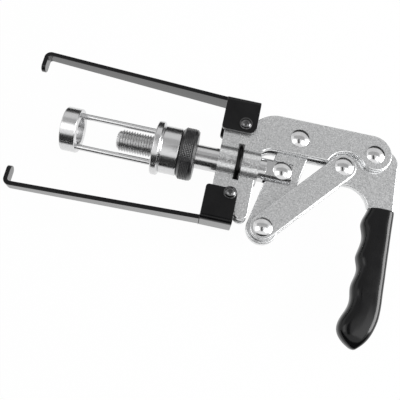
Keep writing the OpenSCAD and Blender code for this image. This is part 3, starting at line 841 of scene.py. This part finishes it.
@dataclass
class Plunger:
    """The plunger rod with its fork, and the threaded stud in its front end."""

    bench: Bench
    rod_edge: float = 0.4 * MM
    shoulder: float = 98.8 * MM
    shank_r: float = 6.0 * MM
    stud_r: float = 8.0 * MM
    root_r: float = 6.77 * MM
    stud_chamfer: float = 1.2 * MM
    stud_steps: int = 64
    stud_smooth: float = 30.0
    pitch: float = 2.0 * MM
    ridge_share: float = 0.44
    crest_share: float = 0.09
    ridge_sink: float = 0.2 * MM
    thread_steps: int = 48

    def rod(self) -> None:
        """Rounds the rod's edges from its CAD shape."""
        obj = self.bench.soften("plunger_rod_turned", "plunger_rod")
        self.bench.bevel(obj, self.rod_edge)
        self.bench.hand_over(obj, "plunger_rod", Body.PLUNGER, Slot.POLISHED)

    def section(self, start: float) -> bpy.types.Object:
        """Shapes a plane into the thread ridge's section, above the stud's axis.

        Args:
            start: middle of the section along X.

        Returns:
            The section, one face.
        """
        foot, crest = self.ridge_share * self.pitch, self.crest_share * self.pitch
        root = self.root_r - self.ridge_sink
        corners = [(start - foot, root), (start - crest, self.stud_r), (start + crest, self.stud_r),
                   (start + foot, root)]
        self.bench.clear()
        bpy.ops.mesh.primitive_plane_add(size=1)
        obj = bpy.context.active_object
        order = sorted(obj.data.vertices, key=lambda vertex: math.atan2(vertex.co.y, vertex.co.x))
        for vertex, (along, radius) in zip(order, corners):
            vertex.co = (along, 0, radius)
        return obj

    def ridge(self, front: float) -> bpy.types.Object:
        """Screws the ridge's section along the stud and closes its two ends.

        Args:
            front: the stud's front end along X.

        Returns:
            The thread ridge.
        """
        start = front + self.pitch
        room = self.shoulder - start - self.ridge_share * self.pitch
        obj = self.section(start)
        self.bench.pick(obj)
        screw = obj.modifiers.new("thread", "SCREW")
        screw.axis = "X"
        screw.angle = math.tau
        screw.screw_offset = self.pitch
        screw.iterations = int(room / self.pitch)
        screw.steps = screw.render_steps = self.thread_steps
        screw.use_merge_vertices = False
        screw.use_smooth_shade = False
        bpy.ops.object.modifier_apply(modifier=screw.name)
        with self.bench.editing(obj):
            bpy.ops.mesh.remove_doubles(threshold=self.bench.weld)
            bpy.ops.mesh.select_all(action="DESELECT")
            bpy.ops.mesh.select_non_manifold(extend=False, use_wire=False, use_boundary=True,
                                             use_multi_face=False, use_non_contiguous=False, use_verts=False)
            bpy.ops.mesh.fill_holes(sides=0)
            bpy.ops.mesh.select_all(action="SELECT")
            bpy.ops.mesh.normals_make_consistent(inside=False)
        return obj

    def stud(self) -> None:
        """Turns the stud's chamfered core and joins the thread ridge to it."""
        low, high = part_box("threaded_stud")
        profile = [(low.x, self.root_r - self.stud_chamfer), (low.x + self.stud_chamfer, self.root_r),
                   (self.shoulder, self.root_r), (self.shoulder, self.shank_r), (high.x, self.shank_r)]
        core = self.bench.turn("threaded_stud_cut", profile, Along.X, self.stud_steps)
        ridge = self.ridge(low.x)
        self.bench.pick(core)
        ridge.select_set(True)
        bpy.ops.object.join()
        self.bench.hand_over(core, "threaded_stud", Body.PLUNGER, Slot.THREAD, self.stud_smooth)

    def build(self) -> None:
        """Makes the rod and the stud."""
        self.rod()
        self.stud()


@dataclass
class Cage:
    """The retainer cup, the hub, and the two rods between them."""

    bench: Bench
    steps: int = 128
    edge: float = 0.35 * MM
    edge_angle: float = 25.0
    cup_bore: float = 10.1 * MM
    cup_seat: float = 13.6 * MM
    cup_depth: float = 3.5 * MM
    cup_chamfer: float = 0.6 * MM
    hub_bore: float = 8.1 * MM
    hub_barrel: float = 17.6 * MM
    hub_flange: float = 5.2 * MM
    hub_chamfer: float = 0.8 * MM
    hub_groove: float = 0.6 * MM
    rod_chamfer: float = 0.4 * MM
    rod_steps: int = 40

    def ring(self, node: str, profile: Profile) -> None:
        """Turns a bored piece, rounds its edges and dresses it.

        Args:
            node: the CAD node.
            profile: (place along X, radius) points, the last the same as the first.
        """
        obj = self.bench.turn(f"{node}_turned", profile, Along.X, self.steps, ring=True)
        self.bench.bevel(obj, self.edge, angle=self.edge_angle)
        self.bench.hand_over(obj, node, Body.CAGE, Slot.POLISHED)

    def cup(self) -> None:
        """Turns the open cup with its seat and bore."""
        low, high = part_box("retainer_cup")
        outer, cut = high.y, self.cup_chamfer
        floor = low.x + self.cup_depth
        self.ring("retainer_cup", [
            (low.x, self.cup_seat), (low.x, outer - cut), (low.x + cut, outer), (high.x - cut, outer),
            (high.x, outer - cut), (high.x, self.cup_bore), (floor, self.cup_bore), (floor, self.cup_seat),
            (low.x, self.cup_seat)])

    def hub(self) -> None:
        """Turns the flanged hub with a relief groove behind its flange."""
        low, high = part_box("cage_hub")
        outer, cut, groove = high.y, self.hub_chamfer, self.hub_groove
        step, barrel = low.x + self.hub_flange, self.hub_barrel
        self.ring("cage_hub", [
            (low.x, self.hub_bore), (low.x, outer - cut), (low.x + cut, outer), (step - cut, outer),
            (step, outer - cut), (step, barrel - groove), (step + groove, barrel - groove),
            (step + 2 * groove, barrel), (high.x - cut, barrel), (high.x, barrel - cut),
            (high.x, self.hub_bore), (low.x, self.hub_bore)])

    def rods(self) -> None:
        """Turns one rod with chamfered ends, copies it to both sides and dresses the copies."""
        low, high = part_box("cage_rod_upper")
        radius, cut = (high.y - low.y) / 2, self.rod_chamfer
        profile = [(low.x, radius - cut), (low.x + cut, radius),
                   (high.x - cut, radius), (high.x, radius - cut)]
        blank = self.bench.turn("rod_blank", profile, Along.X, self.rod_steps)
        for node in ("cage_rod_upper", "cage_rod_lower"):
            low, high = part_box(node)
            obj = self.bench.copy(blank, f"{node}_drawn", Vector((0, (low.y + high.y) / 2, 0)))
            self.bench.hand_over(obj, node, Body.CAGE, Slot.POLISHED)
        bpy.data.objects.remove(blank)

    def build(self) -> None:
        """Makes the cage's pieces."""
        self.cup()
        self.hub()
        self.rods()


@dataclass
class AdjustingNut:
    """The knurled nut that sets the cage's reach."""

    bench: Bench
    bore: float = 8.1 * MM
    chamfer: float = 1.4 * MM
    teeth: int = 96
    rows: int = 7
    knurl: float = 0.35 * MM
    rim_band: float = 0.2 * MM
    smooth: float = 20.0

    def build(self) -> None:
        """Turns the nut and raises a pyramid on each patch of its rim."""
        low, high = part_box("knurled_nut")
        outer = high.y - self.knurl
        first, last = low.x + self.chamfer, high.x - self.chamfer
        rim = [(first + (last - first) * i / self.rows, outer) for i in range(self.rows + 1)]
        profile = [(low.x, self.bore), (low.x, outer - self.chamfer), *rim, (high.x, outer - self.chamfer),
                   (high.x, self.bore), (low.x, self.bore)]
        obj = self.bench.turn("knurled_nut_turned", profile, Along.X, self.teeth, ring=True)
        with self.bench.editing(obj, selected=False):
            shell = bmesh.from_edit_mesh(obj.data)
            for face in shell.faces:
                centre = face.calc_center_median()
                on_rim = math.hypot(centre.y, centre.z) > outer - self.rim_band
                face.select = on_rim and first < centre.x < last
            shell.select_flush_mode()
            bmesh.update_edit_mesh(obj.data)
            bpy.ops.mesh.poke(offset=self.knurl)
        self.bench.hand_over(obj, "knurled_nut", Body.NUT, Slot.KNURL, self.smooth)


@dataclass
class GuideRing:
    """The rubber ring round the plunger guide."""

    bench: Bench
    flash: float = 0.12 * MM
    flash_band: float = 0.01 * MM
    round_steps: int = 96
    section_steps: int = 28
    smooth: float = 60.0

    def build(self) -> None:
        """Adds a ring and pulls out the faint mould line round it."""
        low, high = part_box("guide_o_ring")
        section = (high.x - low.x) / 2
        centre = (low + high) / 2
        self.bench.clear()
        bpy.ops.mesh.primitive_torus_add(major_radius=high.y - section, minor_radius=section,
                                         major_segments=self.round_steps, minor_segments=self.section_steps,
                                         location=centre, rotation=(0, math.pi / 2, 0))
        obj = bpy.context.active_object
        obj.name = obj.data.name = "guide_ring_moulded"
        self.bench.settle(obj)
        with self.bench.editing(obj, selected=False):
            shell = bmesh.from_edit_mesh(obj.data)
            for vertex in shell.verts:
                vertex.select = math.hypot(vertex.co.y, vertex.co.z) > high.y - self.flash_band
            shell.select_flush_mode()
            bmesh.update_edit_mesh(obj.data)
            grow = 1 + self.flash / high.y
            bpy.ops.transform.resize(value=(1, grow, grow), center_override=(centre.x, 0, 0))
        self.bench.hand_over(obj, "guide_o_ring", Body.FRAME, Slot.RUBBER, self.smooth)


@dataclass
class Grip:
    """The dipped grip, a ring of points drawn down the handle and shaped at each step.

    Each section is a height below the plunger axis with its front and rear edge, in mm.
    """

    bench: Bench
    half_thick: float = 8.0 * MM
    sides: int = 48
    box_power: float = 3.1
    foot_start: float = 95.0
    foot_len: float = 19.5
    foot_power: float = 2.4
    foot_least: float = 0.02
    lip_end: float = -12.5
    lip_share: float = 0.92
    skin_levels: int = 2
    smooth: float = 60.0
    sections: tuple[Section, ...] = (
        (-12.3, 230.2, 246.9), (-12.8, 229.3, 247.7), (-14.0, 229.0, 247.75), (-16.2, 228.2, 247.7),
        (-18.6, 227.2, 247.6), (-21.5, 226.2, 247.5), (-24.3, 225.8, 247.4), (-26.6, 226.2, 247.3),
        (-29.0, 227.0, 247.2), (-33.2, 228.0, 247.05), (-36.5, 227.9, 246.95), (-39.6, 227.3, 246.9),
        (-42.8, 226.5, 246.8), (-46.1, 225.6, 246.7), (-48.7, 225.0, 246.65), (-51.0, 225.3, 246.6),
        (-54.0, 226.2, 246.5), (-57.0, 227.0, 246.4), (-59.8, 226.9, 246.35), (-62.6, 226.3, 246.3),
        (-66.0, 225.2, 246.2), (-69.2, 224.3, 246.1), (-72.4, 224.0, 246.0), (-75.8, 224.4, 245.95),
        (-79.1, 224.8, 245.9), (-82.6, 224.5, 245.75), (-86.1, 223.5, 245.45), (-89.5, 221.9, 245.1),
        (-92.8, 220.1, 244.5), (-97.6, 218.3, 243.0), (-102.1, 218.1, 241.2), (-106.0, 219.6, 239.0),
        (-109.7, 222.9, 236.0), (-112.1, 226.6, 233.2), (-113.6, 229.4, 231.6),
    )

    def thickness(self, drop: float) -> float:
        """Half thickness of the grip at a height.

        Args:
            drop: height in mm, negative below the plunger axis.

        Returns:
            The half thickness in metres.
        """
        foot = max(0.0, (-drop - self.foot_start) / self.foot_len)
        lip = self.lip_share if drop > self.lip_end else 1.0
        return self.half_thick * math.sqrt(max(self.foot_least, 1 - foot ** self.foot_power)) * lip

    def ring(self, section: Section) -> tuple[Vector, float, float]:
        """Sizes of a section in metres.

        Args:
            section: height, front edge and rear edge in mm.

        Returns:
            Its centre, half width and half thickness.
        """
        drop, front, rear = section
        centre = Vector(((rear + front) / 2 * MM, drop * MM, 0))
        return centre, (rear - front) / 2 * MM, self.thickness(drop)

    def square_up(self, obj: bpy.types.Object) -> None:
        """Fills the round section out to a rounded box, as a moulded grip has.

        Args:
            obj: the grip.
        """
        rings = {round(section[0], 1): self.ring(section) for section in self.sections}
        power = self.box_power
        for vertex in obj.data.vertices:
            centre, wide, deep = rings[round(vertex.co.y / MM, 1)]
            across, out = (vertex.co.x - centre.x) / wide, vertex.co.z / deep
            size = (abs(across) ** power + abs(out) ** power) ** (1 / power)
            vertex.co.x = centre.x + wide * across / size
            vertex.co.z = deep * out / size

    def build(self) -> None:
        """Draws the rings down the handle, closes both ends and smooths the skin."""
        here, width, thick = self.ring(self.sections[0])
        self.bench.clear()
        bpy.ops.mesh.primitive_circle_add(vertices=self.sides, radius=1.0, fill_type="NGON",
                                          rotation=(math.pi / 2, 0, 0))
        obj = bpy.context.active_object
        obj.name = obj.data.name = "handle_grip_dipped"
        self.bench.settle(obj)
        obj.scale = (width, 1, thick)
        obj.location = here
        self.bench.settle(obj)
        with self.bench.editing(obj):
            for section in self.sections[1:]:
                there, wide, deep = self.ring(section)
                bpy.ops.mesh.extrude_region_move(TRANSFORM_OT_translate={"value": there - here})
                bpy.ops.transform.resize(value=(wide / width, 1, deep / thick), center_override=there)
                here, width, thick = there, wide, deep
            bpy.ops.mesh.select_all(action="SELECT")
            bpy.ops.mesh.normals_make_consistent(inside=False)
        self.square_up(obj)
        self.bench.pick(obj)
        skin = obj.modifiers.new("skin", "SUBSURF")
        skin.levels = skin.render_levels = self.skin_levels
        bpy.ops.object.modifier_apply(modifier=skin.name)
        self.bench.hand_over(obj, "handle_grip", Body.HANDLE, Slot.GRIP, self.smooth)


@dataclass(frozen=True)
class Card:
    """Card that faces the tool and that only reflections see."""

    name: str
    place: Point
    size: Size
    tone: float

    def build(self, aim: Point) -> None:
        """Stands the card in its place.

        Args:
            aim: the point that it faces.
        """
        turn = (Vector(aim) - Vector(self.place)).to_track_quat("Z", "Y").to_euler()
        Bench.clear()
        bpy.ops.mesh.primitive_plane_add(size=1, location=self.place, rotation=turn)
        obj = bpy.context.active_object
        obj.name = self.name
        obj.scale = (*self.size, 1)
        made = bpy.data.materials.new(self.name)
        made.use_nodes = True
        shader = made.node_tree.nodes["Principled BSDF"]
        shader.inputs["Base Color"].default_value = (0, 0, 0, 1)
        shader.inputs["Specular IOR Level"].default_value = 0.0
        shader.inputs["Emission Color"].default_value = (1, 1, 1, 1)
        shader.inputs["Emission Strength"].default_value = self.tone
        obj.data.materials.append(made)
        obj.visible_camera = obj.visible_diffuse = obj.visible_shadow = False


@dataclass(frozen=True)
class Lamp:
    """Soft rectangular lamp, with its power in watts."""

    name: str
    place: Point
    aim: Point
    size: Size
    power: float
    shiny: bool = True

    def build(self) -> None:
        """Stands the lamp in its place, shown in reflections if it is shiny."""
        data = bpy.data.lights.new(self.name, "AREA")
        data.shape = "RECTANGLE"
        data.size, data.size_y = self.size
        data.energy = self.power
        obj = bpy.data.objects.new(self.name, data)
        obj.location = self.place
        obj.rotation_euler = (Vector(self.aim) - Vector(self.place)).to_track_quat("-Z", "Y").to_euler()
        obj.visible_glossy = self.shiny
        bpy.context.scene.collection.objects.link(obj)


@dataclass
class Studio:
    """Floor, reflection cards, lamps, world and camera."""

    target: Point = (0.1088, -0.0327, 0.0)
    tilt: float = 18.0
    azimuth: float = 1.0
    roll: float = 12.17
    distance: float = 0.4068
    lens: float = 50.85
    sensor: float = 36.0
    clip: Span = (0.01, 50.0)
    tool_centre: Point = (0.1, 0.0, 0.0)
    world_strength: Span = (0.45, 1.0)
    floor_size: float = 8.0
    floor_gap: float = 0.4 * MM
    floor_tone: float = 0.90
    floor_rough: float = 0.9
    floor_glow: float = 0.975
    cards: tuple[Card, ...] = (
        Card("front_card", (0.1, -0.32, 0.08), (1.8, 0.30), 0.03),
        Card("gap_card", (0.14, -0.17, 0.98), (0.28, 0.56), 0.10),
        Card("top_card", (0.1, 0.36, 0.93), (1.6, 0.52), 0.48),
        Card("sky_card", (0.1, 0.79, 0.62), (2.4, 0.62), 0.78),
        Card("rear_card", (0.1, 0.13, 0.002), (1.2, 0.05), 0.02),
        Card("back_card", (0.1, 0.95, 0.16), (3.0, 0.34), 0.10),
    )
    lamps: tuple[Lamp, ...] = (
        Lamp("left_bank", (-0.42, -0.2, 0.84), (0.1, 0, 0), (0.5, 0.5), 0.95),
        Lamp("right_bank", (0.70, -0.2, 0.84), (0.14, 0, 0), (0.5, 0.5), 0.95),
        Lamp("side", (0.98, 0.04, 0.36), (0.24, -0.06, 0), (0.6, 0.42), 7.5),
        Lamp("fill", (-0.35, 0.5, 0.9), (0.1, 0, 0), (0.7, 0.7), 1.4, shiny=False),
    )

    def camera(self) -> None:
        """Sets the photograph's camera."""
        tilt, azimuth, roll = (math.radians(angle) for angle in (self.tilt, self.azimuth, self.roll))
        level = math.cos(azimuth)
        back = Vector((math.sin(azimuth), -level * math.sin(tilt), level * math.cos(tilt)))
        right = Vector((0, math.cos(tilt), math.sin(tilt))).cross(back).normalized()
        up = back.cross(right)
        across = math.cos(roll) * right + math.sin(roll) * up
        over = back.cross(across)
        data = bpy.data.cameras.new("photo_camera")
        data.lens, data.sensor_width, data.sensor_fit = self.lens, self.sensor, "HORIZONTAL"
        data.clip_start, data.clip_end = self.clip
        obj = bpy.data.objects.new("photo_camera", data)
        place = Vector(self.target) + self.distance * back
        obj.matrix_world = Matrix.Translation(place) @ Matrix((across, over, back)).transposed().to_4x4()
        bpy.context.scene.collection.objects.link(obj)
        bpy.context.scene.camera = obj

    @staticmethod
    def seen(tree: bpy.types.NodeTree) -> bpy.types.NodeSocket:
        """Mask of the rays that see the background itself.

        Args:
            tree: node tree of the floor or the world.

        Returns:
            A socket that is 1 for camera, glossy and transmission rays.
        """
        path = tree.nodes.new("ShaderNodeLightPath").outputs
        direct = add_math(tree, "MAXIMUM", path["Is Camera Ray"], path["Is Glossy Ray"])
        return add_math(tree, "MAXIMUM", direct, path["Is Transmission Ray"])

    def world(self) -> None:
        """Soft even light, white where it is seen."""
        world = bpy.data.worlds.new("studio")
        bpy.context.scene.world = world
        world.use_nodes = True
        tree = world.node_tree
        shade = tree.nodes["Background"]
        shade.inputs["Color"].default_value = (1, 1, 1, 1)
        tree.links.new(add_range(tree, self.seen(tree), to=self.world_strength), shade.inputs["Strength"])

    def floor(self) -> None:
        """Pale floor just under the tool, which keeps a faint shadow."""
        Bench.clear()
        place = (self.tool_centre[0], self.tool_centre[1], CAD_BOX[0].z - self.floor_gap)
        bpy.ops.mesh.primitive_plane_add(size=self.floor_size, location=place)
        obj = bpy.context.active_object
        obj.name = "pale_floor"
        made = bpy.data.materials.new("pale_floor")
        made.use_nodes = True
        tree = made.node_tree
        matt = tree.nodes["Principled BSDF"]
        matt.inputs["Base Color"].default_value = (self.floor_tone, self.floor_tone, self.floor_tone, 1)
        matt.inputs["Roughness"].default_value = self.floor_rough
        glow = tree.nodes.new("ShaderNodeEmission")
        mix = tree.nodes.new("ShaderNodeMixShader")
        tree.links.new(add_math(tree, "MULTIPLY", self.seen(tree), self.floor_glow), mix.inputs["Fac"])
        tree.links.new(matt.outputs["BSDF"], mix.inputs[1])
        tree.links.new(glow.outputs["Emission"], mix.inputs[2])
        tree.links.new(mix.outputs["Shader"], tree.nodes["Material Output"].inputs["Surface"])
        obj.data.materials.append(made)

    def build(self) -> None:
        """Sets the whole studio."""
        bpy.context.scene.view_settings.view_transform = "Standard"
        self.world()
        self.floor()
        for card in self.cards:
            card.build(self.tool_centre)
        for lamp in self.lamps:
            lamp.build()
        self.camera()


def main() -> None:
    """Builds every sub-assembly in order, then the studio."""
    logging.basicConfig(level=logging.INFO, format="%(message)s")
    bench = Bench(Paintbox())
    works = (PlateWork(bench), Arms(bench), Rivets(bench), Fasteners(bench), Plunger(bench), Cage(bench),
             AdjustingNut(bench), GuideRing(bench), Grip(bench))
    for work in works:
        work.build()
    for node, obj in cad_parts.items():
        if not obj.hide_render:
            LOG.info("%s is still the plain solid", node)
    Studio().build()


if __name__ == "__main__":
    main()
